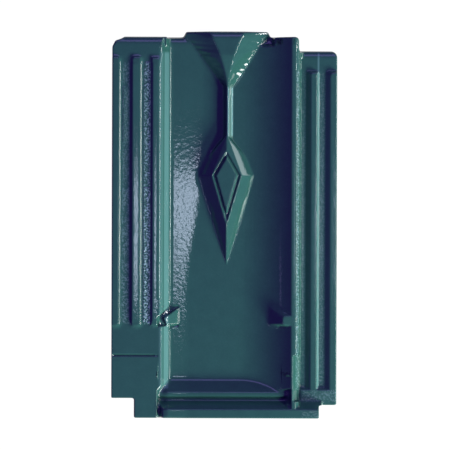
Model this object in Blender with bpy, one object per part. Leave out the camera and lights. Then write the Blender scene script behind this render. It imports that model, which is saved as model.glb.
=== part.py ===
"""Interlocking roof tile of pressed and glazed clay.

The tile lies on its underside, weather face up. +X is across the tile, towards the
lock flange. +Y runs down the roof, towards the foot. +Z is up. The origin is at the
bottom centre of the tile's box. All sizes are in metres.
"""

import math

import bmesh
import bpy

# Overall size
TILE_WIDTH = 0.242
TILE_LENGTH = 0.415

# Heights above the plane that the tile lies on
NIB_DEPTH = 0.015
SHELL = 0.011

# Heights above the floor of the pan
COVER_HEIGHT = 0.013
COVER_RIB_HEIGHT = 0.0150
RIM_HEIGHT = 0.0155
CHANNEL_HEIGHT = 0.0005
LOCK_RIB_HEIGHT = 0.0038
HEAD_RIB_HEIGHT = 0.0095
HEAD_GROOVE_HEIGHT = 0.004
HEAD_LIP_HEIGHT = 0.016
FLARE_HEIGHT = 0.017
SPINE_HEIGHT = 0.008
LOZENGE_HEIGHT = 0.011
PANEL_HEIGHT = 0.0122
FIN_HEIGHT = 0.011

# Cover flange, measured from the free edge of the tile
COVER_WIDTH = 0.0523
COVER_WALL_RUN = 0.0097
COVER_EDGE_RIB = 0.0079
COVER_MID_RIB = 0.0084
COVER_MID_RIB_AT = 0.0221
COVER_INNER_RIB = 0.0090
COVER_RIB_RUN = 0.0024
COVER_RIB_TO_FOOT = 0.0270
COVER_RIB_TO_HEAD = 0.0983

# Lock flange, measured from the free edge of the tile
LOCK_WIDTH = 0.0488
RIM_WIDTH = 0.0041
RIM_RUN = 0.0050
RIM_BEVEL = 0.0043
RIM_BEVEL_DROP = 0.0030
LOCK_EDGE_RIB = 0.0072
LOCK_MID_RIB = 0.0060
LOCK_MID_RIB_AT = 0.0219
LOCK_RIB_RUN_IN = 0.0060
LOCK_RIB_RUN_OUT = 0.0027
LOCK_RIB_TO_FOOT = 0.0400
LOCK_SHELF = 0.0303

# Pan
RISE_RUN = 0.0550
RISE_STEPS = 12

# Head lock, distances from the head edge
HEAD_SLOPE_START = 0.0411
HEAD_RIB_START = 0.0276
HEAD_RIB_END = 0.0237
HEAD_GROOVE_START = 0.0206
HEAD_GROOVE_END = 0.0197
HEAD_LIP_START = 0.0096
HEAD_RECESS = 0.0105
RIM_FOOT_RUN = 0.0054
LIP_FLANK_RUN = 0.0037
LOCK_LIP_TOE = 0.0186

# Foot edge
PAN_SETBACK = 0.0057
LOCK_SETBACK = 0.0202
NOSE_RUN = 0.0085
NOSE_DROP = 0.0050
NOSE_STEPS = 8
CORNER_STEPS = 8
BAR_CORNER_STEPS = 2
LOCK_CORNER_RADIUS = 0.0070
RIM_CORNER_RADIUS = 0.0040
WORN_CORNER = 0.0130
WORN_STEPS = ((1.0, 0.0), (0.75, 0.16), (0.25, 0.33), (0.0, 0.85))

# Notches at the head corners
COVER_NOTCH_WIDTH = 0.0243
COVER_NOTCH_LENGTH = 0.0213
LOCK_NOTCH_WIDTH = 0.0189
LOCK_NOTCH_LENGTH = 0.0140

# Flare, spine and lozenge down the middle of the pan
AXIS = 0.0022
SPINE_SHIFT = 0.0010
FLARE_LENGTH = 0.0590
FLARE_CREASE = 0.0270
FLARE_FRONT_HALF = 0.0440
FLARE_FRONT_DRAFT = 0.0030
FLARE_BASE_HALF = 0.0480
FLARE_TOP_HALF = 0.0190
FLARE_CURVE = 1.75
FLARE_ROOT = 0.0088
FLARE_STEPS = 9
SPINE_BASE_HALF = 0.0048
SPINE_CREST_HALF = 0.0009
LOZENGE_TOP = 0.1109
LOZENGE_SIDE = 0.1545
LOZENGE_TIP = 0.2512
LOZENGE_BASE_HALF = 0.0305
FRAME_TOP = 0.1268
FRAME_TIP = 0.2082
FRAME_HALF = 0.0160
FRAME_WIDTH = 0.0014
FRAME_GROOVE = 0.0016
FRAME_GROOVE_DEPTH = 0.0015
PANEL_DRAFT = 0.0010

# Fins that turn the water into the pan, distances from the head edge
FIN_TO_HEAD = 0.0997
FIN_RIDGE = 0.0057
FIN_LENGTH = 0.0076
FIN_SPREAD = 0.0102
FIN_REACH = 0.0080
FIN_END_HEIGHT = 0.0030
FIN_END_RUN = 0.0029
FIN_SIDE_RUN = 0.0010
FIN_GAP_WIDTH = 0.0124
FIN_GAP_SLANT = 0.0145
FIN_GAP_HEIGHT = 0.0080
RIGHT_FIN_TAB = 0.0091
RIGHT_FIN_LENGTH = 0.0102
RIGHT_FIN_CORNER = 0.0030
RIGHT_FIN_REACH = 0.0315
RIGHT_FIN_SPREAD = 0.0184

# Scored line across the cover flange and the shaved rim beside it
SCORE_TO_HEAD = 0.0671
SCORE_WIDTH = 0.0024
SCORE_DEPTH = 0.0012
SHAVED_RIM = 0.0024

# Underside
COVER_UNDER = 0.0072
COVER_TONGUE = 0.0012
TONGUE_WIDTH = 0.0050
LOCK_UNDER = -0.0075
FOOT_LIP = 0.0100
COVER_FOOT_DROP = 0.0135
NIB_WIDTH = 0.0300
NIB_LENGTH = 0.0150
NIB_TO_WALL = 0.0080
NIB_PAST_RISE = 0.0190
NIB_TO_HEAD = 0.0130
NIB_DRAFT = 0.0020
FLARE_HOLLOW = 0.0050
BOSS_HOLLOW = 0.0010

# Extra length that tools and blanks run past a face that they cut or fill
OVERRUN = 0.0060

# Share of a rib's height that its drafted root goes on below the surface
ROOT = 0.5

# Faces that meet at more than this many degrees have a crisp edge
CRISP_ANGLE = 12.0

# Worked out from the sizes above
LEFT = -TILE_WIDTH / 2
RIGHT = TILE_WIDTH / 2
HEAD = -TILE_LENGTH / 2
FOOT = TILE_LENGTH / 2
PAN = NIB_DEPTH + SHELL
WALL_TOP = LEFT + COVER_WIDTH
WALL_TOE = WALL_TOP + COVER_WALL_RUN
RIM_IN = RIGHT - LOCK_WIDTH
RIM_OUT = RIM_IN + RIM_WIDTH
RIM_TOE = RIM_OUT + RIM_RUN
RISE_START = RIM_IN - RISE_RUN
RISE_RADIUS = (RISE_RUN ** 2 + RIM_HEIGHT ** 2) / (2 * RIM_HEIGHT)
WALL_SLOPE = COVER_WALL_RUN / COVER_RIB_HEIGHT


def closed_mesh(name, rings):
    """Make a closed body from rings of points that are joined one to the next."""
    mesh = bpy.data.meshes.new(name)
    bm = bmesh.new()
    loops = [[bm.verts.new(point) for point in ring] for ring in rings]
    count = len(loops[0])
    for lower, upper in zip(loops, loops[1:]):
        for i in range(count):
            j = (i + 1) % count
            bm.faces.new((lower[i], lower[j], upper[j], upper[i]))
    bm.faces.new(list(reversed(loops[0])))
    bm.faces.new(loops[-1])
    bmesh.ops.recalc_face_normals(bm, faces=bm.faces)
    bm.to_mesh(mesh)
    bm.free()
    body = bpy.data.objects.new(name, mesh)
    bpy.context.scene.collection.objects.link(body)
    return body


def along_y(name, section, start, end):
    """Extrude a section of (x, height above the pan) points along the tile."""
    return closed_mesh(name, [[(x, y, PAN + z) for x, z in section] for y in (start, end)])


def along_x(name, section, start, end):
    """Extrude a section of (y, height above the pan) points across the tile."""
    return closed_mesh(name, [[(x, y, PAN + z) for y, z in section] for x in (start, end)])


def frustum(name, lower, upper, bottom, top):
    """Join a plan outline at one height above the pan to another outline higher up."""
    return closed_mesh(
        name,
        [
            [(x, y, PAN + bottom) for x, y in lower],
            [(x, y, PAN + top) for x, y in upper],
        ],
    )


def hull(name, points):
    """The convex body round some (x, y, height above the pan) points."""
    mesh = bpy.data.meshes.new(name)
    bm = bmesh.new()
    corners = [bm.verts.new((x, y, PAN + z)) for x, y, z in points]
    bmesh.ops.convex_hull(bm, input=corners)
    bmesh.ops.recalc_face_normals(bm, faces=bm.faces)
    bm.to_mesh(mesh)
    bm.free()
    body = bpy.data.objects.new(name, mesh)
    bpy.context.scene.collection.objects.link(body)
    return body


def combine(body, tools, operation):
    """Apply one exact boolean with several tools at once, then drop the tools."""
    group = bpy.data.collections.new(operation.lower())
    bpy.context.scene.collection.children.link(group)
    for tool in tools:
        bpy.context.scene.collection.objects.unlink(tool)
        group.objects.link(tool)
    step = body.modifiers.new(operation.lower(), "BOOLEAN")
    step.operation = operation
    step.solver = "EXACT"
    step.operand_type = "COLLECTION"
    step.collection = group
    bpy.context.view_layer.update()
    graph = bpy.context.evaluated_depsgraph_get()
    result = bpy.data.meshes.new_from_object(body.evaluated_get(graph))
    body.modifiers.clear()
    old = body.data
    body.data = result
    bpy.data.meshes.remove(old)
    for tool in tools:
        bpy.data.objects.remove(tool)
    bpy.data.collections.remove(group)


def arc(centre, radius, start, end, steps):
    """Points on an arc, from one angle to another in degrees."""
    points = []
    for i in range(steps + 1):
        angle = math.radians(start + (end - start) * i / steps)
        x = centre[0] + radius * math.cos(angle)
        y = centre[1] + radius * math.sin(angle)
        points.append((x, y))
    return points


def rise_arc(offset, end_x):
    """The hollow sweep from the pan's floor up to the rim, or its underside."""
    radius = RISE_RADIUS + offset
    reach = math.degrees(math.asin((end_x - RISE_START) / radius))
    return arc((RISE_START, RISE_RADIUS), radius, -90, -90 + reach, RISE_STEPS)


def flank(base, crest, height, level):
    """Where a drafted flank that stands on level 0 reaches another level."""
    return base + (crest - base) * level / height


def slab():
    """The tile's cross-section with the cover's inner rib, run past both ends."""
    left = LEFT - OVERRUN
    right = RIGHT + OVERRUN
    inner_rib = WALL_TOP - COVER_INNER_RIB
    top = [(left, COVER_HEIGHT), (inner_rib - COVER_RIB_RUN, COVER_HEIGHT)]
    top += [(inner_rib, COVER_RIB_HEIGHT), (WALL_TOP, COVER_RIB_HEIGHT), (WALL_TOE, 0)]
    top += rise_arc(0, RIM_IN)
    top += [(RIM_OUT, RIM_HEIGHT), (RIM_OUT + RIM_BEVEL, RIM_HEIGHT - RIM_BEVEL_DROP)]
    top += [(RIM_TOE, CHANNEL_HEIGHT), (right, CHANNEL_HEIGHT)]
    under_toe = WALL_TOE - SHELL / 2
    under_top = under_toe - WALL_SLOPE * (SHELL + COVER_UNDER)
    sweep = rise_arc(SHELL, RIM_IN - SHELL / 2)
    under = [(right, LOCK_UNDER), (RIM_OUT, LOCK_UNDER), (RIM_IN, sweep[-1][1])]
    under += list(reversed(sweep))
    under += [(under_toe, -SHELL), (under_top, COVER_UNDER), (left, COVER_UNDER)]
    return along_y("roof_tile", top + under, HEAD - OVERRUN, FOOT + OVERRUN)


def nose(start, end, edge, height):
    """Round the foot edge down over one width of the tile."""
    past = FOOT + 2 * OVERRUN
    section = []
    for i in range(NOSE_STEPS + 1):
        angle = math.radians(90 * i / NOSE_STEPS)
        y = edge - NOSE_RUN + NOSE_RUN * math.sin(angle)
        section.append((y, height - NOSE_DROP + NOSE_DROP * math.cos(angle)))
    section += [(past, height - NOSE_DROP), (past, height + OVERRUN)]
    section.append((edge - NOSE_RUN, height + OVERRUN))
    return along_x("nose_cut", section, start, end)


def noses():
    pan_foot = FOOT - PAN_SETBACK
    return [
        nose(LEFT - 2 * OVERRUN, WALL_TOE - COVER_WALL_RUN / 2, pan_foot, COVER_HEIGHT),
        nose(WALL_TOE - COVER_WALL_RUN / 2, RIM_TOE - RIM_RUN / 2, pan_foot, 0),
        nose(RIM_TOE - RIM_RUN / 2, RIGHT + 2 * OVERRUN, FOOT - LOCK_SETBACK, CHANNEL_HEIGHT),
    ]


def rib_ends():
    """Cut the cover's inner rib down to the plain flange at the head and the foot."""
    near = HEAD + COVER_RIB_TO_HEAD
    far = FOOT - COVER_RIB_TO_FOOT
    rise = COVER_RIB_HEIGHT - COVER_HEIGHT
    over = COVER_RIB_HEIGHT + OVERRUN
    run = COVER_RIB_RUN * (over - COVER_HEIGHT) / rise
    start = WALL_TOP - COVER_INNER_RIB - 2 * COVER_RIB_RUN
    head_end = HEAD - 2 * OVERRUN
    foot_end = FOOT + 2 * OVERRUN
    tools = []
    for edge, end, side in ((near, head_end, 1), (far, foot_end, -1)):
        section = [(end, COVER_HEIGHT), (edge, COVER_HEIGHT), (edge + side * run, over), (end, over)]
        tools.append(along_x("rib_end", section, start, WALL_TOE))
    return tools


def bar(name, base, crest, sunk, top, near, far, end_run):
    """A long rib with drafted flanks and rounded, drafted ends."""
    rings = []
    for (x0, x1), inset, z in ((base, 0.0, sunk), (crest, end_run, top)):
        corner = (crest[1] - crest[0]) / 3
        start = near + inset
        end = far - inset
        outline = arc((x1 - corner, end - corner), corner, 0, 90, BAR_CORNER_STEPS)
        outline += arc((x0 + corner, end - corner), corner, 90, 180, BAR_CORNER_STEPS)
        outline += arc((x0 + corner, start + corner), corner, 180, 270, BAR_CORNER_STEPS)
        outline += arc((x1 - corner, start + corner), corner, 270, 360, BAR_CORNER_STEPS)
        rings.append([(x, y, PAN + z) for x, y in outline])
    return closed_mesh(name, rings)


def cover_ribs():
    """The edge rib and the middle rib of the cover flange."""
    sunk = COVER_HEIGHT - ROOT * (COVER_RIB_HEIGHT - COVER_HEIGHT)
    run = COVER_RIB_RUN * (1 + ROOT)
    near = HEAD + COVER_RIB_TO_HEAD - COVER_RIB_RUN
    far = FOOT - COVER_RIB_TO_FOOT + COVER_RIB_RUN
    mid = LEFT + COVER_MID_RIB_AT
    crests = [(LEFT - OVERRUN / 2, LEFT + COVER_EDGE_RIB), (mid, mid + COVER_MID_RIB)]
    ribs = []
    for crest in crests:
        base = (crest[0] - run, crest[1] + run)
        ribs.append(bar("cover_rib", base, crest, sunk, COVER_RIB_HEIGHT, near, far, run))
    return ribs


def lock_ribs():
    """Two ribs along the lock flange, and the shelf that closes its channels."""
    near = HEAD + OVERRUN
    far = FOOT - LOCK_RIB_TO_FOOT
    sunk = CHANNEL_HEIGHT - ROOT * (LOCK_RIB_HEIGHT - CHANNEL_HEIGHT)
    run_in = LOCK_RIB_RUN_IN * (1 + ROOT)
    run_out = LOCK_RIB_RUN_OUT * (1 + ROOT)
    mid = RIGHT - LOCK_MID_RIB_AT
    crests = [(mid - LOCK_MID_RIB, mid), (RIGHT - LOCK_EDGE_RIB, RIGHT + OVERRUN / 2)]
    tools = []
    for crest in crests:
        base = (crest[0] - run_in, crest[1] + run_out)
        tools.append(bar("lock_rib", base, crest, sunk, LOCK_RIB_HEIGHT, near, far, run_out))
    shelf = HEAD + LOCK_SHELF
    section = [
        (HEAD - OVERRUN / 2, sunk),
        (HEAD - OVERRUN / 2, LOCK_RIB_HEIGHT),
        (shelf, LOCK_RIB_HEIGHT),
        (shelf + run_out, sunk),
    ]
    tools.append(along_x("lock_shelf", section, RIM_OUT - RIM_WIDTH / 2, RIGHT + OVERRUN / 3))
    return tools


def head_recess():
    """Where the wall of the cover flange stands back beside the head lock."""
    front = HEAD + HEAD_SLOPE_START
    crest = HEAD + HEAD_RIB_START
    left = WALL_TOE - HEAD_RECESS
    right = RISE_START
    end = HEAD - 2 * OVERRUN
    grow = HEAD_RECESS / 4
    low = [(WALL_TOE, front), (left, crest), (left, end), (right, end), (right, front)]
    high = [
        (WALL_TOE, front + grow),
        (left - grow, crest + grow),
        (left - grow, end),
        (right, end),
        (right, front + grow),
    ]
    return frustum("head_recess", low, high, 0, COVER_HEIGHT + OVERRUN)


def sweep_recess():
    """Where the pan's sweep is cut away, so that the head lock runs on to the rim."""
    crest = HEAD + HEAD_RIB_START
    end = HEAD - 2 * OVERRUN
    bottom = HEAD_GROOVE_HEIGHT / 2
    top = RIM_HEIGHT + OVERRUN / 2
    foot = RIM_IN - RIM_FOOT_RUN
    head = foot + RIM_FOOT_RUN * (top - bottom) / (RIM_HEIGHT - bottom + RIM_RUN / 10)
    grow = HEAD_RECESS / 2
    low = [(RISE_START, crest), (foot, crest), (foot, end), (RISE_START, end)]
    high = [(RISE_START, crest + grow), (head, crest + grow), (head, end), (RISE_START, end)]
    return frustum("sweep_recess", low, high, bottom, top)


def head_lock():
    """The transverse rib, groove and lip that the next course laps over."""
    left = WALL_TOE - HEAD_RECESS
    front = HEAD + HEAD_SLOPE_START
    end = HEAD - OVERRUN / 2
    sunk = -SHELL / 2
    section = [
        (front + HEAD_SLOPE_START / 4, sunk),
        (front, 0),
        (HEAD + HEAD_RIB_START, HEAD_RIB_HEIGHT),
        (HEAD + HEAD_RIB_END, HEAD_RIB_HEIGHT),
        (HEAD + HEAD_GROOVE_START, HEAD_GROOVE_HEIGHT),
        (HEAD + HEAD_GROOVE_END, HEAD_GROOVE_HEIGHT),
        (HEAD + HEAD_LIP_START, HEAD_LIP_HEIGHT),
        (end, HEAD_LIP_HEIGHT),
        (end, sunk),
    ]
    start = left - HEAD_RECESS / 3
    rings = []
    for low, high in ((start, left + LIP_FLANK_RUN), (RIM_IN, RIM_IN)):
        ring = []
        for y, z in section:
            share = max(0.0, z - HEAD_RIB_HEIGHT) / (HEAD_LIP_HEIGHT - HEAD_RIB_HEIGHT)
            ring.append((low + (high - low) * share, y, PAN + z))
        rings.append(ring)
    lip = [
        (HEAD + LOCK_LIP_TOE, LOCK_RIB_HEIGHT - OVERRUN / 3),
        (HEAD + LOCK_LIP_TOE, LOCK_RIB_HEIGHT),
        (HEAD + HEAD_LIP_START, HEAD_LIP_HEIGHT),
        (end, HEAD_LIP_HEIGHT),
        (end, LOCK_RIB_HEIGHT - OVERRUN / 3),
    ]
    return [
        closed_mesh("head_ribs", rings),
        along_x("lock_lip", lip, RIM_IN - RIM_WIDTH, RIGHT - LOCK_NOTCH_WIDTH + OVERRUN / 2),
    ]


def flare():
    """The flared block at the foot that covers the joint of the course below."""
    sunk = -FLARE_ROOT
    apex = FOOT - FLARE_LENGTH
    crease = FOOT - FLARE_CREASE
    curved = FOOT - NOSE_RUN
    stations = [apex + (curved - apex) * i / FLARE_STEPS for i in range(FLARE_STEPS + 1)]
    for i in range(1, NOSE_STEPS + 1):
        stations.append(curved + NOSE_RUN * math.sin(math.radians(90 * i / NOSE_STEPS)))
    stations.append(FOOT + OVERRUN / 2)
    rings = []
    for y in stations:
        along = (y - apex) / FLARE_LENGTH
        base = SPINE_BASE_HALF + (FLARE_BASE_HALF - SPINE_BASE_HALF) * along
        crest = SPINE_CREST_HALF + (FLARE_TOP_HALF - SPINE_CREST_HALF) * along ** FLARE_CURVE
        climb = min(1.0, (y - apex) / (crease - apex))
        height = SPINE_HEIGHT + (FLARE_HEIGHT - SPINE_HEIGHT) * climb
        past = min(1.0, max(0.0, (y - curved) / NOSE_RUN))
        height -= NOSE_DROP * (1 - math.sqrt(1 - past ** 2))
        low = flank(base, crest, height, sunk)
        centre = AXIS + SPINE_SHIFT * max(0.0, 1 - along)
        corners = [(-low, sunk), (-crest, height), (crest, height), (low, sunk)]
        rings.append([(centre + x, y, PAN + z) for x, z in corners])
    return closed_mesh("flare", rings)


def spine():
    """The narrow ridge between the flare and the lozenge."""
    sunk = -SHELL / 2
    low = flank(SPINE_BASE_HALF, SPINE_CREST_HALF, SPINE_HEIGHT, sunk)
    corners = [
        (-low, sunk),
        (-SPINE_CREST_HALF, SPINE_HEIGHT),
        (SPINE_CREST_HALF, SPINE_HEIGHT),
        (low, sunk),
    ]
    section = [(AXIS + SPINE_SHIFT + x, z) for x, z in corners]
    start = FOOT - LOZENGE_TOP - SPINE_BASE_HALF
    return along_y("spine", section, start, FOOT - FLARE_LENGTH + SPINE_BASE_HALF / 2)


def diamond(top, side, tip, half):
    """Plan of a lozenge on the tile's axis, with its widest line nearer to its top."""
    return [(AXIS, top), (AXIS + half, side), (AXIS, tip), (AXIS - half, side)]


def lozenge():
    """The lozenge boss below the spine, flat on top, with a ridge up to it at each end."""
    side = FOOT - LOZENGE_SIDE
    top = FOOT - LOZENGE_TOP
    tip = FOOT - LOZENGE_TIP
    frame = diamond(FOOT - FRAME_TOP, side, FOOT - FRAME_TIP, FRAME_HALF)
    sunk = -SHELL / 2
    half = flank(LOZENGE_BASE_HALF, FRAME_HALF, LOZENGE_HEIGHT, sunk)
    points = [(x, y, LOZENGE_HEIGHT) for x, y in frame]
    points += [(x, y, sunk) for x, y in diamond(top + SPINE_BASE_HALF, side, tip, half)]
    points += [(AXIS, top, SPINE_HEIGHT), (AXIS, tip, 0)]
    return hull("lozenge", points)


def frame_inset(margin):
    """The frame's outline, moved in by the same width on each side."""
    side = FOOT - LOZENGE_SIDE
    upper = FOOT - FRAME_TOP - side
    lower = side - FOOT + FRAME_TIP
    top = FOOT - FRAME_TOP - margin * math.hypot(FRAME_HALF, upper) / FRAME_HALF
    tip = FOOT - FRAME_TIP + margin * math.hypot(FRAME_HALF, lower) / FRAME_HALF
    return diamond(top, side, tip, FRAME_HALF - margin * math.hypot(FRAME_HALF, upper) / upper)


def frame_groove():
    """The narrow groove just inside the lozenge's edge."""
    outer = frame_inset(FRAME_WIDTH)
    floor = LOZENGE_HEIGHT - FRAME_GROOVE_DEPTH
    return frustum("frame_groove", outer, outer, floor, LOZENGE_HEIGHT + OVERRUN)


def panel():
    """The raised panel inside the groove."""
    low = frame_inset(FRAME_WIDTH + FRAME_GROOVE)
    high = frame_inset(FRAME_WIDTH + FRAME_GROOVE + PANEL_DRAFT)
    floor = LOZENGE_HEIGHT - FRAME_GROOVE_DEPTH
    return frustum("panel", low, high, floor - OVERRUN / 4, PANEL_HEIGHT)


def fin_gap():
    """The gap in the cover flange's wall behind the left fin, with a sloping floor."""
    near = HEAD + FIN_TO_HEAD - FIN_SIDE_RUN
    far = HEAD + FIN_TO_HEAD + FIN_LENGTH
    left = WALL_TOE - FIN_GAP_WIDTH
    right = WALL_TOE + FIN_SIDE_RUN / 2
    plan = [(left, near), (right, near), (right, far + FIN_GAP_SLANT), (left, far)]
    floors = [FIN_GAP_HEIGHT, FIN_SIDE_RUN / 2, FIN_SIDE_RUN / 2, FIN_GAP_HEIGHT]
    over = PAN + COVER_RIB_HEIGHT + OVERRUN
    low = [(x, y, PAN + floor) for (x, y), floor in zip(plan, floors)]
    return closed_mesh("fin_gap", [low, [(x, y, over) for x, y in plan]])


def left_fin():
    """The small ramp before the gap, with its ridge towards the cover flange."""
    near = HEAD + FIN_TO_HEAD
    far = near + FIN_LENGTH
    ridge = WALL_TOE - FIN_RIDGE
    end = WALL_TOE + FIN_REACH
    fall = (FIN_HEIGHT - FIN_END_HEIGHT) / (end - ridge)
    middle = (ridge + WALL_TOE) / 2
    sunk = -SHELL / 4
    toe = flank(end + FIN_END_RUN, end, FIN_END_HEIGHT, sunk)
    side = FIN_SIDE_RUN
    return hull(
        "left_fin",
        [
            (ridge, far, FIN_HEIGHT),
            (middle, near, FIN_HEIGHT - fall * (middle - ridge)),
            (end, far + FIN_SPREAD, FIN_END_HEIGHT),
            (end, near + 2 * side, FIN_END_HEIGHT),
            (ridge - side, far + side, sunk),
            (middle - side, near - side, sunk),
            (toe, far + FIN_SPREAD + side, sunk),
            (toe, near + side, sunk),
        ],
    )


def right_fin():
    """The small ramp below the rim, with a rounded tab level with the rim."""
    near = HEAD + FIN_TO_HEAD
    far = near + RIGHT_FIN_LENGTH
    edge = RIM_IN - RIGHT_FIN_TAB
    end = RIM_IN + RIM_WIDTH / 3
    radius = RIGHT_FIN_CORNER
    sunk = -SHELL / 4
    toe = flank(RIM_IN - RIGHT_FIN_REACH, edge, RIM_HEIGHT, sunk)
    tab = [(end, near), (end, far)]
    tab += arc((edge + radius, far - radius), radius, 90, 180, BAR_CORNER_STEPS)
    tab += arc((edge + radius, near + radius), radius, 180, 270, BAR_CORNER_STEPS)
    points = [(x, y, RIM_HEIGHT) for x, y in tab]
    points += [(toe, far + RIGHT_FIN_SPREAD, sunk), (toe, near, sunk)]
    inside = RIM_HEIGHT / 2
    points += [(end, near - FIN_SIDE_RUN, inside), (end, far + FIN_SIDE_RUN, inside)]
    return hull("right_fin", points)


def score():
    """The scored line across the cover flange and the shaved rim in line with it."""
    y = HEAD + SCORE_TO_HEAD
    half = SCORE_WIDTH / 2
    over = SCORE_DEPTH / 4
    groove = [
        (y - half, COVER_HEIGHT + over),
        (y, COVER_HEIGHT - SCORE_DEPTH),
        (y + half, COVER_HEIGHT + over),
    ]
    shave = [
        (RIM_OUT - SHAVED_RIM, RIM_HEIGHT),
        (RIM_TOE, CHANNEL_HEIGHT + RIM_RUN / 5),
        (RIM_TOE, RIM_HEIGHT + OVERRUN),
        (RIM_OUT - SHAVED_RIM, RIM_HEIGHT + OVERRUN),
    ]
    return [
        along_x("score_cut", groove, LEFT - 2 * OVERRUN, WALL_TOP - COVER_RIB_RUN),
        along_y("rim_cut", shave, HEAD + LOCK_LIP_TOE, y),
    ]


def tongues():
    """Ridges under the cover flange that sit in the next tile's channels."""
    base = COVER_UNDER + OVERRUN / 3
    tools = []
    for start in (LEFT + COVER_RIB_RUN, LEFT + COVER_MID_RIB_AT + RIM_WIDTH / 2):
        end = start + TONGUE_WIDTH
        section = [
            (start - COVER_RIB_RUN, base),
            (start, COVER_TONGUE),
            (end, COVER_TONGUE),
            (end + LOCK_RIB_RUN_IN, base),
        ]
        tools.append(along_y("tongue", section, HEAD - OVERRUN / 2, FOOT + OVERRUN / 2))
    return tools


def foot_walls():
    """The walls under the foot that close the step to the course below."""
    back = FOOT - PAN_SETBACK - FOOT_LIP
    front = FOOT + OVERRUN / 2
    left = WALL_TOE - SHELL / 2
    right = RIM_IN - SHELL / 2
    lip = [(left, -SHELL / 2), (left, -PAN), (right, -PAN)]
    lip += list(reversed(rise_arc(SHELL / 2, right)))
    top = COVER_UNDER + OVERRUN / 3
    wall = [(back, top), (back, -COVER_FOOT_DROP), (front, -COVER_FOOT_DROP), (front, top)]
    return [
        along_y("foot_lip", lip, back, front),
        along_x("cover_foot", wall, LEFT - OVERRUN / 2, WALL_TOE - SHELL / 4),
    ]


def nibs():
    """Two nibs that hook over the batten. Their faces towards the foot stand square."""
    near = HEAD + NIB_TO_HEAD
    far = near + NIB_LENGTH
    half = NIB_WIDTH / 2
    low_half = half - NIB_DRAFT
    tools = []
    for centre in (WALL_TOE + NIB_TO_WALL + half, RISE_START + NIB_PAST_RISE):
        low = [
            (centre - low_half, near + NIB_DRAFT),
            (centre + low_half, near + NIB_DRAFT),
            (centre + low_half, far),
            (centre - low_half, far),
        ]
        high = [(centre - half, near), (centre + half, near), (centre + half, far), (centre - half, far)]
        tools.append(frustum("nib", low, high, -PAN, -SHELL / 4))
    return tools


def hollows():
    """Hollows under the flare and the lozenge, so that the clay is of even thickness."""
    back = FOOT - PAN_SETBACK - FOOT_LIP
    apex = FOOT - FLARE_LENGTH + SHELL
    wide = FLARE_BASE_HALF - 2 * SHELL
    low = [(AXIS - wide, back), (AXIS, apex), (AXIS + wide, back)]
    high = [(AXIS - wide / 2, back), (AXIS, apex + SHELL), (AXIS + wide / 2, back)]
    under = -SHELL - OVERRUN
    flare_hollow = frustum("flare_hollow", low, high, under, FLARE_HOLLOW)
    side = FOOT - LOZENGE_SIDE
    half = LOZENGE_BASE_HALF - SHELL
    low = diamond(side + 3 * SHELL, side, side - 5 * SHELL, half)
    high = diamond(side + 2 * SHELL, side, side - 4 * SHELL, half - SHELL / 2)
    boss_hollow = frustum("boss_hollow", low, high, under, BOSS_HOLLOW)
    return [flare_hollow, boss_hollow]


def outline():
    """Plan of the tile: set-back foot edges, worn and rounded corners, head notches."""
    pan_foot = FOOT - PAN_SETBACK
    lock_foot = FOOT - LOCK_SETBACK
    points = [
        (LEFT, HEAD + COVER_NOTCH_LENGTH),
        (LEFT + COVER_NOTCH_WIDTH, HEAD + COVER_NOTCH_LENGTH),
        (LEFT + COVER_NOTCH_WIDTH, HEAD),
        (RIGHT - LOCK_NOTCH_WIDTH, HEAD),
        (RIGHT - LOCK_NOTCH_WIDTH, HEAD + LOCK_NOTCH_LENGTH),
        (RIGHT, HEAD + LOCK_NOTCH_LENGTH),
    ]
    radius = LOCK_CORNER_RADIUS
    points += arc((RIGHT - radius, lock_foot - radius), radius, 0, 90, CORNER_STEPS)
    rim_side = RIM_TOE - RIM_RUN / 3
    points.append((rim_side, lock_foot))
    radius = RIM_CORNER_RADIUS
    points += arc((rim_side - radius, pan_foot - radius), radius, 0, 90, CORNER_STEPS)
    front = FLARE_FRONT_HALF
    points += [
        (AXIS + front + FLARE_FRONT_DRAFT, pan_foot),
        (AXIS + front, FOOT),
        (AXIS - front, FOOT),
        (AXIS - front - FLARE_FRONT_DRAFT, pan_foot),
    ]
    for across, along in WORN_STEPS:
        points.append((LEFT + WORN_CORNER * across, pan_foot - WORN_CORNER * along))
    return points


def glaze():
    """Deep green glaze over the whole tile."""
    material = bpy.data.materials.new("green_glaze")
    material.use_nodes = True
    shader = material.node_tree.nodes["Principled BSDF"]
    shader.inputs["Base Color"].default_value = (0.020, 0.085, 0.085, 1.0)
    shader.inputs["Roughness"].default_value = 0.18
    shader.inputs["Metallic"].default_value = 0.0
    return material


def build():
    for old in list(bpy.data.objects):
        bpy.data.objects.remove(old)
    tile = slab()
    combine(tile, noses() + rib_ends() + [head_recess(), sweep_recess(), fin_gap()], "DIFFERENCE")
    raised = cover_ribs() + lock_ribs() + head_lock()
    raised += [left_fin(), right_fin(), flare(), spine(), lozenge()]
    combine(tile, raised + tongues() + foot_walls() + nibs(), "UNION")
    combine(tile, score() + [frame_groove()] + hollows(), "DIFFERENCE")
    combine(tile, [panel()], "UNION")
    plan = frustum("plan", outline(), outline(), -PAN - OVERRUN, FLARE_HEIGHT + OVERRUN)
    combine(tile, [plan], "INTERSECT")
    tile.data.materials.clear()
    tile.data.materials.append(glaze())
    tile.data.shade_smooth()
    tile.data.set_sharp_from_angle(angle=math.radians(CRISP_ANGLE))


build()
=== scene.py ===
import math

import bpy
import numpy as np
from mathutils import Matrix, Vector
from mathutils.bvhtree import BVHTree
from mathutils.kdtree import KDTree


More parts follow.
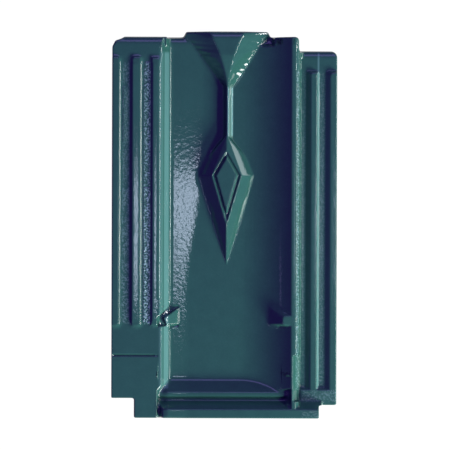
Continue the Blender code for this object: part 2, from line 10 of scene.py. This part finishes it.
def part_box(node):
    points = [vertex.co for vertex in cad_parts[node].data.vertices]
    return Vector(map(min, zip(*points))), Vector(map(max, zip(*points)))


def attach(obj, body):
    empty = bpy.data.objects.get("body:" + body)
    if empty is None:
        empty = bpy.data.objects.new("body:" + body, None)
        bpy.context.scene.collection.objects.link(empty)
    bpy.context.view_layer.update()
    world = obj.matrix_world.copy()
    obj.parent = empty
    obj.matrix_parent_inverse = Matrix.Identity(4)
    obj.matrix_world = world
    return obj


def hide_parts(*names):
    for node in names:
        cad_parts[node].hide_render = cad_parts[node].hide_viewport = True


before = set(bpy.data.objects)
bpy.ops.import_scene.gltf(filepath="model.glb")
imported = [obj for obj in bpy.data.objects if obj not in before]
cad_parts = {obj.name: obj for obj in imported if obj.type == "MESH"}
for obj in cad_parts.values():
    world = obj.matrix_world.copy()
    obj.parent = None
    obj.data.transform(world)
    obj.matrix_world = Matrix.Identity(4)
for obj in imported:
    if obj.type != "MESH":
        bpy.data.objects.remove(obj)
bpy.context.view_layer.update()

# Green glazed interlocking roof tile, seen from straight above
# Lengths are in metres. +X is towards the lock flange and +Y towards the foot.

TILE_LOW, TILE_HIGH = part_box("roof_tile")
HALF_WIDTH = TILE_HIGH[0]
HALF_LENGTH = TILE_HIGH[1]

# Sampling of the tile's form
CELL = 0.0005
MARGIN = 0.004
SKIN_VOXEL = 0.00075
EDGE_ROUNDS = 10
TRIANGLES = 190000

# How the glaze rounds the clay
CRISP = 0.0006
SOFT = 0.0019
SOFT_BLEND = 0.00004
DETAIL = 0.0005
WALL_ROUND = 0.0018

# The weather face is glazed as far as the outer edge, which keeps the skin's own round
EDGE_BLUR = 0.001
EDGE_START = 0.80
EDGE_END = 0.97
FACING_UP = 0.1
NOT_FACING_DOWN = -0.3
NEAR_THE_TOP = 0.005

# Areas where the pressed detail stays sharp, as left, right, near and far sides
SHARP_AREAS = [
    (-0.0145, 0.0360, -0.0480, 0.1500),
    (-0.1230, -0.0700, -0.1425, -0.1385),
    (-0.0740, -0.0450, -0.1120, -0.0830),
    (0.0580, 0.0740, -0.1110, -0.0940),
    (0.0740, 0.1240, -0.2100, 0.1800),
]

# The flare, whose faces run smoothly into each other
FLARE_AREA = (-0.0460, 0.0540, 0.1400, 0.2100)
FLARE_ROUND = 0.0009

# The scored line is opened up by the glaze along its sides
SCORE_AREA = (-0.1190, -0.0745, -0.1409, -0.1393)
SCORE_CUT = 0.0011
SCORE_FADE = 0.0006

# Wall of the cover flange that the glaze draws into one long curve
WALL_AREA = (-0.0725, -0.0560, -0.0800, 0.1900)

# The pan beside the cover flange is pressed slightly out of flat
PAN_LEFT = -0.059
PAN_WALL = 0.008
DISH_START = -0.021
DISH_NARROW = 0.016
DISH_NEAR = -0.065
DISH_FAR = 0.085
DISH_EASE = 0.004
DISH_TILT = 0.055

# Tops and grooves of the cover flange that lean a little towards the pan:
# left, right, near and far sides, then the slope
LEANING = [
    (-0.0988, -0.0912, -0.1060, 0.1750, 0.0690),
    (-0.0765, -0.0708, -0.1060, 0.1750, 0.0635),
    (-0.1085, -0.1010, 0.0860, 0.1500, 0.0710),
    (-0.0872, -0.0805, -0.1060, 0.1500, 0.0660),
]
LEAN_SIDE = 0.0015
LEAN_END = 0.004

# The left fin's top, which falls a little more steeply to the pan
FIN_AREA = (-0.0665, -0.0495, -0.1095, -0.0875)
FIN_MIDDLE = -0.0585
FIN_TILT = 0.12

# Striped areas of the glaze: strips across the tile, then the strips along it that
# they are cut to. Each strip has its start, its end and its strength.
COVER_GROOVES = (
    [(-0.1100, -0.1020, 0.30), (-0.0867, -0.0797, 1.0)],
    [(-0.1060, 0.0400, 1.0), (0.0410, 0.1740, 0.7)],
)
# The first lock strip, on the rim's bevel, is speckled paler partly as grain and partly as painted
# highlight
LOCK_GROOVES = (
    [(0.0768, 0.0806, 0.40), (0.0820, 0.0872, 0.07), (0.1022, 0.1085, 0.12)],
    [(-0.1770, 0.1650, 1.0)],
)
HEAD_SHELF = (
    [(0.0830, 0.1205, 0.22)],
    [(-0.2070, -0.2000, 0.7), (-0.1895, -0.1775, 1.0)],
)
# Painted highlight: strips along the cover flange's wall, the rim's bevel and a lock rib's right flank,
# where a paler green is painted in
PAINTED_LONG_HIGHLIGHTS = (
    [(-0.0698, -0.0652, 0.25), (-0.0650, -0.0598, 0.50), (0.0768, 0.0806, 0.05), (0.0998, 0.1016, 0.60)],
    [(-0.1760, 0.1850, 1.0)],
)
# Painted highlight: paler green along the spine's crest and base lines
PAINTED_SPINE_HIGHLIGHTS = (
    [(0.0031, 0.0045, 1.0), (0.0049, 0.0066, 0.45), (0.0071, 0.0088, 1.0)],
    [(0.0955, 0.1475, 1.0)],
)
STRIP_FADE = 0.002

# Glaze colours, from its pools to a paler green painted as highlight on edges and walls, and grains
POOLED_GREEN = (0.0175, 0.074, 0.056, 1)
EVEN_GREEN = (0.0235, 0.096, 0.072, 1)
PAINTED_HIGHLIGHT_GREEN = (0.110, 0.270, 0.235, 1)
GRAIN_GREEN = (0.230, 0.400, 0.380, 1)

# Surface of the glaze
GRIT_EVERYWHERE = 0.008
PEEL_DEPTH = 0.00005
GRAIN_DEPTH = 0.0011
GLOSS_ROUGHNESS = 0.06
GLASS_IOR = 1.5

# Floor
FLOOR_REACH = 0.6

# Lights round the tile: name, azimuth, elevation, distance, size, radiance and colour
WHITE = (1.0, 1.0, 1.0)
LIGHTS = [
    ("key", -44.5, 19, 2.2, (0.95, 0.48), 68.0, WHITE),
    ("high key", -16, 35, 2.2, (0.80, 0.16), 26.0, WHITE),
    ("edge", 3, 35, 2.2, (0.40, 0.14), 50.0, WHITE),
    ("side", 26, 9, 2.4, (1.6, 0.55), 5.0, (0.9, 1.0, 1.0)),
    ("foot", 90, 50, 2.4, (1.4, 0.8), 2.3, (0.4, 0.3, 1.0)),
    ("left", 182.9, 44, 2.4, (0.10, 0.05), 1.4, (0.5, 0.4, 1.0)),
    ("low left", 199, 44, 2.4, (0.35, 0.06), 9.0, (0.6, 0.6, 1.0)),
]

# The strip light high above, whose mirror image lies in the pan
STRIP_PLACE = (0.36, -0.02, 4.0)
STRIP_SIZE = (0.13, 0.26)
STRIP_RADIANCE = 11.5
STRIP_COLOUR = (0.69, 0.79, 1.0)

# Dim violet light from all round
DUSK_COLOUR = (0.11, 0.015, 0.36, 1)

# Camera
CAMERA_HEIGHT = 4.0
PICTURE_WIDTH = 0.48407
CENTRE = (0.00065, -0.0002)
ROLL = 0.186
FOCUS_LEVEL = 0.026


def bell(field, sigma):
    """Blur a grid of values with a bell curve of this width."""
    reach = max(1, math.ceil(3 * sigma / CELL))
    weights = np.exp(-0.5 * (np.arange(-reach, reach + 1) * CELL / sigma) ** 2)
    weights /= weights.sum()
    rows, columns = field.shape
    padded = np.pad(field, ((reach, reach), (0, 0)))
    field = sum(weight * padded[i:i + rows] for i, weight in enumerate(weights))
    padded = np.pad(field, ((0, 0), (reach, reach)))
    return sum(weight * padded[:, i:i + columns] for i, weight in enumerate(weights))


def ramp(values, start, end):
    """Smooth step from 0 at start to 1 at end."""
    share = np.clip((values - start) / (end - start), 0, 1)
    return share * share * (3 - 2 * share)


class Relief:
    """Heights of the glazed weather face on a fine grid."""

    def __init__(self, node):
        self.left = TILE_LOW[0] - MARGIN
        self.head = TILE_LOW[1] - MARGIN
        xs = np.arange(self.left, TILE_HIGH[0] + MARGIN, CELL)
        ys = np.arange(self.head, TILE_HIGH[1] + MARGIN, CELL)
        clay = self.cast(node, xs, ys)
        self.inside = np.isfinite(clay).astype(float)
        clay = np.nan_to_num(clay)
        self.x, self.y = np.meshgrid(xs, ys, indexing="ij")
        self.z = self.glazed(clay) + self.dish() + self.leaning()
        self.edge = bell(self.inside, EDGE_BLUR)

    def cast(self, node, xs, ys):
        """The clay's height under every point of the grid."""
        mesh = node.data
        corners = [v.co for v in mesh.vertices]
        tree = BVHTree.FromPolygons(corners, [tuple(p.vertices) for p in mesh.polygons])
        down = Vector((0, 0, -1))
        heights = np.full((len(xs), len(ys)), np.nan)
        for i, x in enumerate(xs):
            for j, y in enumerate(ys):
                hit = tree.ray_cast(Vector((x, y, 0.1)), down)[0]
                if hit is not None:
                    heights[i, j] = hit.z
        return heights

    def blurred(self, heights, sigma):
        """Blur that lets nothing outside the tile pull its edges down."""
        share = np.maximum(bell(self.inside, sigma), 1e-4)
        return bell(heights * self.inside, sigma) / share

    def area(self, left, right, near, far, fade=0.001):
        """1 inside a rectangle of the grid and 0 outside it, with soft sides."""
        across = ramp(self.x, left - fade, left + fade) * ramp(-self.x, -right - fade, -right + fade)
        along = ramp(self.y, near - fade, near + fade) * ramp(-self.y, -far - fade, -far + fade)
        return across * along

    def glazed(self, clay):
        """Glaze fills the hollow corners with a wide fillet and leaves edges crisper."""
        crisp = self.blurred(clay, CRISP)
        fill = self.blurred(clay, SOFT) - crisp
        surface = crisp + (fill + np.sqrt(fill ** 2 + SOFT_BLEND ** 2) - SOFT_BLEND) / 2
        sharp = self.blurred(clay, DETAIL)
        for sides in SHARP_AREAS:
            surface += (sharp - surface) * self.area(*sides)
        for sides, width in ((FLARE_AREA, FLARE_ROUND), (WALL_AREA, WALL_ROUND)):
            surface += (self.blurred(clay, width) - surface) * self.area(*sides)
        return surface - SCORE_CUT * self.area(*SCORE_AREA, fade=SCORE_FADE)

    def dish(self):
        """The slightly tilted strip of the pan beside the cover flange."""
        start = DISH_START - DISH_NARROW * ramp(-self.y, DISH_NEAR, DISH_FAR)
        reach = np.clip(start - self.x, 0, None)
        rise = np.sqrt(reach ** 2 + DISH_EASE ** 2) - DISH_EASE
        wall = ramp(self.x, PAN_LEFT - PAN_WALL, PAN_LEFT)
        return rise * DISH_TILT * wall

    def leaning(self):
        """Strips of the cover flange that stand a little higher on their outer side."""
        lift = np.zeros_like(self.x)
        for left, right, near, far, slope in LEANING:
            rise = np.clip(right - self.x, 0, right - left) * slope
            side = ramp(self.x, left - LEAN_SIDE, left)
            along = ramp(self.y, near, near + LEAN_END) * ramp(-self.y, -far, -far + LEAN_END)
            lift += rise * side * along
        return lift + (FIN_MIDDLE - self.x) * FIN_TILT * self.area(*FIN_AREA)

    def sample(self, field, points):
        """Read a grid between its cells at these points."""
        u = np.clip((points[:, 0] - self.left) / CELL, 0, field.shape[0] - 1.001)
        v = np.clip((points[:, 1] - self.head) / CELL, 0, field.shape[1] - 1.001)
        i = u.astype(int)
        j = v.astype(int)
        u -= i
        v -= j
        low = field[i, j] * (1 - u) + field[i + 1, j] * u
        high = field[i, j + 1] * (1 - u) + field[i + 1, j + 1] * u
        return low * (1 - v) + high * v


def evaluated(body):
    """A plain copy of a body's mesh with its modifiers applied."""
    bpy.context.view_layer.update()
    graph = bpy.context.evaluated_depsgraph_get()
    return bpy.data.meshes.new_from_object(body.evaluated_get(graph))


def read(mesh, name, width, kind="vertices"):
    """Read one vector per vertex or edge into an array."""
    things = getattr(mesh, kind)
    values = np.empty(len(things) * width, dtype=np.int32 if kind == "edges" else np.float32)
    things.foreach_get(name, values)
    return values.reshape(-1, width).astype(np.int64 if kind == "edges" else np.float64)


def relaxed(points, edges, rounds):
    """Round a skin's edges: each point goes half way to the middle of its neighbours."""
    first, second = edges.T
    count = len(points)
    neighbours = np.bincount(edges.ravel(), minlength=count)[:, None]
    for _ in range(rounds):
        total = np.stack([
            np.bincount(first, points[second, axis], count)
            + np.bincount(second, points[first, axis], count)
            for axis in range(3)
        ], axis=1)
        points = (points + total / neighbours) / 2
    return points


def glazed_body(node):
    """The tile's visible body: an even skin over the clay, laid onto the relief."""
    body = bpy.data.objects.new("glazed_tile", node.data.copy())
    bpy.context.scene.collection.objects.link(body)
    skin = body.modifiers.new("skin", "REMESH")
    skin.mode = "VOXEL"
    skin.voxel_size = SKIN_VOXEL
    fine = evaluated(body)
    body.modifiers.clear()
    relief = Relief(node)
    before = read(fine, "co", 3)
    upright = read(fine, "normal", 3)[:, 2]
    points = relaxed(before, read(fine, "vertices", 2, "edges"), EDGE_ROUNDS)
    top = relief.sample(relief.z, points)
    within = ramp(relief.sample(relief.edge, points), EDGE_START, EDGE_END)
    brim = (before[:, 2] > top - NEAR_THE_TOP) & (upright > NOT_FACING_DOWN)
    above = (upright > FACING_UP) | brim
    points[:, 2] += (top - points[:, 2]) * within * above
    fine.vertices.foreach_set("co", points.astype(np.float32).ravel())
    fine.update()
    body.data = fine
    normals = read(fine, "normal", 3)
    thin = body.modifiers.new("thin", "DECIMATE")
    faces = len(fine.loops) - 2 * len(fine.polygons)
    thin.ratio = TRIANGLES / faces
    light = evaluated(body)
    body.modifiers.clear()
    body.data = light
    light.shade_smooth()
    tree = KDTree(len(points))
    for i, point in enumerate(points.tolist()):
        tree.insert(point, i)
    tree.balance()
    nearest = [tree.find(v.co)[1] for v in light.vertices]
    light.normals_split_custom_set_from_vertices(normals[nearest].tolist())
    return body


def node_of(tree, kind, values=(), **settings):
    """Add a shader node, with its settings and some of its inputs."""
    node = tree.nodes.new(kind)
    for name, value in settings.items():
        setattr(node, name, value)
    for name, value in dict(values).items():
        if isinstance(value, bpy.types.NodeSocket):
            tree.links.new(value, node.inputs[name])
        else:
            node.inputs[name].default_value = value
    return node


def blend(tree, share, first, second):
    """Mix two colours by a share."""
    mix = node_of(tree, "ShaderNodeMix", {"Factor": share, 6: first, 7: second}, data_type="RGBA")
    return mix.outputs[2]


def product(tree, first, second):
    """Multiply two values."""
    return node_of(tree, "ShaderNodeMath", {0: first, 1: second}, operation="MULTIPLY").outputs["Value"]


def larger(tree, first, second):
    """The larger of two values."""
    return node_of(tree, "ShaderNodeMath", {0: first, 1: second}, operation="MAXIMUM").outputs["Value"]


def strip_mask(tree, place, half, strips):
    """Each strip's own strength inside it and 0 outside the strips."""
    share = node_of(tree, "ShaderNodeMapRange", {
        "Value": place, "From Min": -half, "From Max": half,
    })
    band = node_of(tree, "ShaderNodeValToRGB", {"Fac": share.outputs["Result"]})
    stops = band.color_ramp.elements
    stops[0].color = (0, 0, 0, 1)
    stops[1].color = (0, 0, 0, 1)
    for start, end, strength in strips:
        low = (start + half) / half / 2
        high = (end + half) / half / 2
        sides = (
            (low - STRIP_FADE, 0), (low + STRIP_FADE, 1),
            (high - STRIP_FADE, 1), (high + STRIP_FADE, 0),
        )
        for stop, level in sides:
            value = level * strength
            stops.new(stop).color = (value, value, value, 1)
    return band.outputs["Color"]


def striped(tree, place, areas, least=0.0):
    """Strength of the striped areas together, and never less than the least."""
    split = node_of(tree, "ShaderNodeSeparateXYZ", {"Vector": place})
    strength = least
    for across, along in areas:
        columns = strip_mask(tree, split.outputs["X"], HALF_WIDTH, across)
        rows = strip_mask(tree, split.outputs["Y"], HALF_LENGTH, along)
        strength = larger(tree, product(tree, columns, rows), strength)
    return strength


def noise(tree, place, scale, detail, roughness):
    """A cloudy pattern of this fineness."""
    return node_of(tree, "ShaderNodeTexNoise", {
        "Vector": place, "Scale": scale, "Detail": detail, "Roughness": roughness,
    }).outputs["Fac"]


def glaze():
    """Deep green glaze with an orange-peel surface, grainy groove floors and a paler green painted on as
    highlight.
    """
    material = bpy.data.materials.new("green_glaze")
    material.use_nodes = True
    tree = material.node_tree
    shader = tree.nodes["Principled BSDF"]
    place = node_of(tree, "ShaderNodeTexCoord").outputs["Object"]
    gritty = striped(tree, place, [COVER_GROOVES, LOCK_GROOVES, HEAD_SHELF], GRIT_EVERYWHERE)
    # Share of the paler green painted on as highlight along the wall, the flanks and the spine
    thin = striped(tree, place, [PAINTED_LONG_HIGHLIGHTS, PAINTED_SPINE_HIGHLIGHTS])
    cloud = noise(tree, place, 90.0, 5.0, 0.6)
    grain = noise(tree, place, 480.0, 2.0, 0.6)
    peel = noise(tree, place, 270.0, 2.0, 0.5)
    # Painted highlight: the paler green is laid over the glaze colour inside the highlight strips
    highlighted_glaze = blend(tree, thin, blend(tree, cloud, POOLED_GREEN, EVEN_GREEN), PAINTED_HIGHLIGHT_GREEN)
    flecks = node_of(tree, "ShaderNodeMapRange", {
        "Value": grain, "From Min": 0.47, "From Max": 0.62,
    })
    bare = product(tree, flecks.outputs["Result"], gritty)
    tree.links.new(blend(tree, bare, highlighted_glaze, GRAIN_GREEN), shader.inputs["Base Color"])
    wave = node_of(tree, "ShaderNodeBump", {
        "Strength": 1.0, "Distance": PEEL_DEPTH, "Height": peel,
    })
    rough = node_of(tree, "ShaderNodeBump", {
        "Strength": 1.0, "Distance": GRAIN_DEPTH, "Normal": wave.outputs["Normal"],
        "Height": product(tree, grain, gritty),
    })
    tree.links.new(rough.outputs["Normal"], shader.inputs["Normal"])
    shader.inputs["Roughness"].default_value = GLOSS_ROUGHNESS
    shader.inputs["IOR"].default_value = GLASS_IOR
    return material


def floor():
    """Plain white floor that glows evenly, so that the tile lies clear of shadows."""
    mesh = bpy.data.meshes.new("floor")
    corners = [(x * FLOOR_REACH, y * FLOOR_REACH, 0) for x, y in ((-1, -1), (1, -1), (1, 1), (-1, 1))]
    mesh.from_pydata(corners, [], [(0, 1, 2, 3)])
    body = bpy.data.objects.new("floor", mesh)
    bpy.context.scene.collection.objects.link(body)
    material = bpy.data.materials.new("white_floor")
    material.use_nodes = True
    shader = material.node_tree.nodes["Principled BSDF"]
    shader.inputs["Base Color"].default_value = (0.05, 0.05, 0.05, 1)
    shader.inputs["Roughness"].default_value = 0.9
    shader.inputs["Specular IOR Level"].default_value = 0.0
    shader.inputs["Emission Color"].default_value = (1, 1, 1, 1)
    shader.inputs["Emission Strength"].default_value = 1.0
    mesh.materials.append(material)
    return body


def panel(name, place, target, size, radiance, colour):
    """A flat soft light that faces a point. Its power follows from its radiance."""
    data = bpy.data.lights.new(name, "AREA")
    data.shape = "RECTANGLE"
    data.size, data.size_y = size
    data.energy = radiance * size[0] * size[1] * math.pi
    data.color = colour
    lamp = bpy.data.objects.new(name, data)
    lamp.location = place
    lamp.rotation_euler = (Vector(target) - Vector(place)).to_track_quat("-Z", "Y").to_euler()
    bpy.context.scene.collection.objects.link(lamp)
    return lamp


def towards(azimuth, elevation, distance):
    """A place round the tile. Azimuth 0 is +X and 90 is +Y, in degrees."""
    a = math.radians(azimuth)
    e = math.radians(elevation)
    flat = math.cos(e) * distance
    return (flat * math.cos(a), flat * math.sin(a), math.sin(e) * distance)


def studio():
    """Soft lights round the tile, a strip light high above and dim violet air."""
    middle = (0, 0, FOCUS_LEVEL)
    for name, azimuth, elevation, distance, size, radiance, colour in LIGHTS:
        panel(name, towards(azimuth, elevation, distance), middle, size, radiance, colour)
    below = (STRIP_PLACE[0], STRIP_PLACE[1], 0.0)
    strip = panel("strip", STRIP_PLACE, below, STRIP_SIZE, STRIP_RADIANCE, STRIP_COLOUR)
    strip.rotation_euler = (0, 0, 0)
    world = bpy.data.worlds.new("dusk")
    world.use_nodes = True
    world.node_tree.nodes["Background"].inputs["Color"].default_value = DUSK_COLOUR
    bpy.context.scene.world = world


def camera():
    """A long lens straight above the tile."""
    data = bpy.data.cameras.new("camera")
    data.lens = data.sensor_width * (CAMERA_HEIGHT - FOCUS_LEVEL) / PICTURE_WIDTH
    body = bpy.data.objects.new("camera", data)
    body.location = (CENTRE[0], CENTRE[1], CAMERA_HEIGHT)
    body.rotation_euler = (0, 0, math.radians(ROLL))
    bpy.context.scene.collection.objects.link(body)
    return body


tile = glazed_body(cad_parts["roof_tile"])
tile.data.materials.clear()
tile.data.materials.append(glaze())
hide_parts("roof_tile")
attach(tile, "root")
floor()

studio()
bpy.context.scene.camera = camera()
bpy.context.scene.view_settings.view_transform = "Standard"
